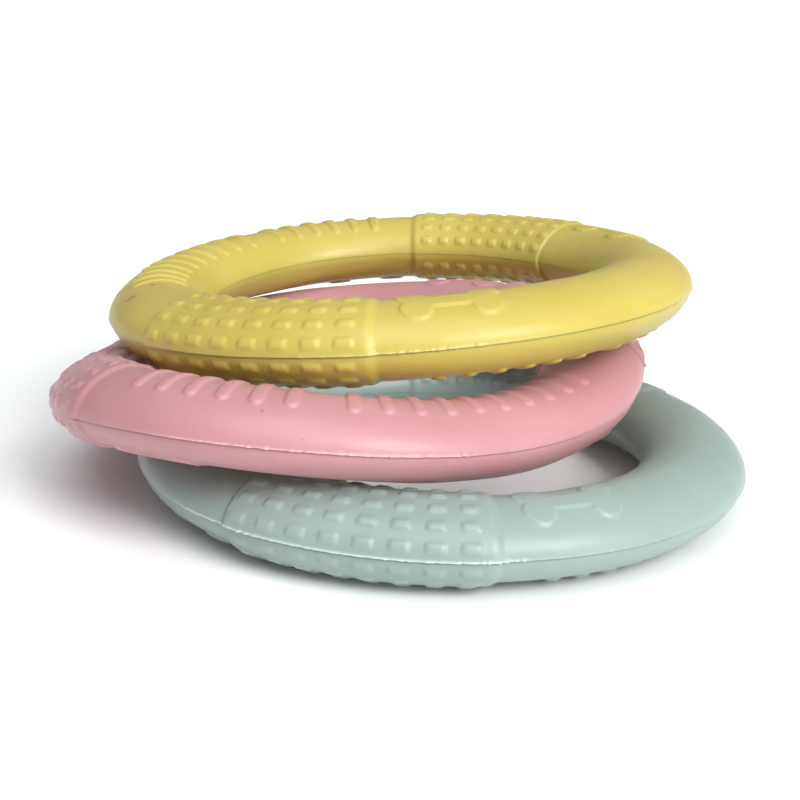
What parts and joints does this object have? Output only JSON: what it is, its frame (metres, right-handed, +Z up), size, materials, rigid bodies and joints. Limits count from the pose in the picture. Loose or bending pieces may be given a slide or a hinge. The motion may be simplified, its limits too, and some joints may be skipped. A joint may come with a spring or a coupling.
{
  "type": "dog training ring",
  "caption": "Loose stack of thick foam training rings for a dog, each with raised nubbed grips, ribbed sides and a bonded seam round its edge.",
  "frame": {"origin": "middle of the stack's bounding box, on the surface that the lowest ring lies on", "axes": "+Z up, +X to the right and +Y away from the viewer, as the picture shows the stack"},
  "size_m": [0.3216, 0.3294, 0.1107],
  "materials": {
    "mint_foam": "soft satin closed-cell foam",
    "pink_foam": "soft satin closed-cell foam",
    "yellow_foam": "soft satin closed-cell foam"
  },
  "bodies": {
    "mint_ring": {"mint_ring_upper_half": "mint_foam", "mint_ring_lower_half": "mint_foam"},
    "pink_ring": {"pink_ring_upper_half": "pink_foam", "pink_ring_lower_half": "pink_foam"},
    "yellow_ring": {"yellow_ring_upper_half": "yellow_foam", "yellow_ring_lower_half": "yellow_foam"}
  },
  "joints": [
    {"name": "pink_lift", "type": "slide", "parent": "mint_ring", "child": "pink_ring", "axis": [0, 0, 1], "range_m": [0, 0.12]},
    {"name": "yellow_lift", "type": "slide", "parent": "pink_ring", "child": "yellow_ring", "axis": [0, 0, 1], "range_m": [0, 0.12]}
  ]
}
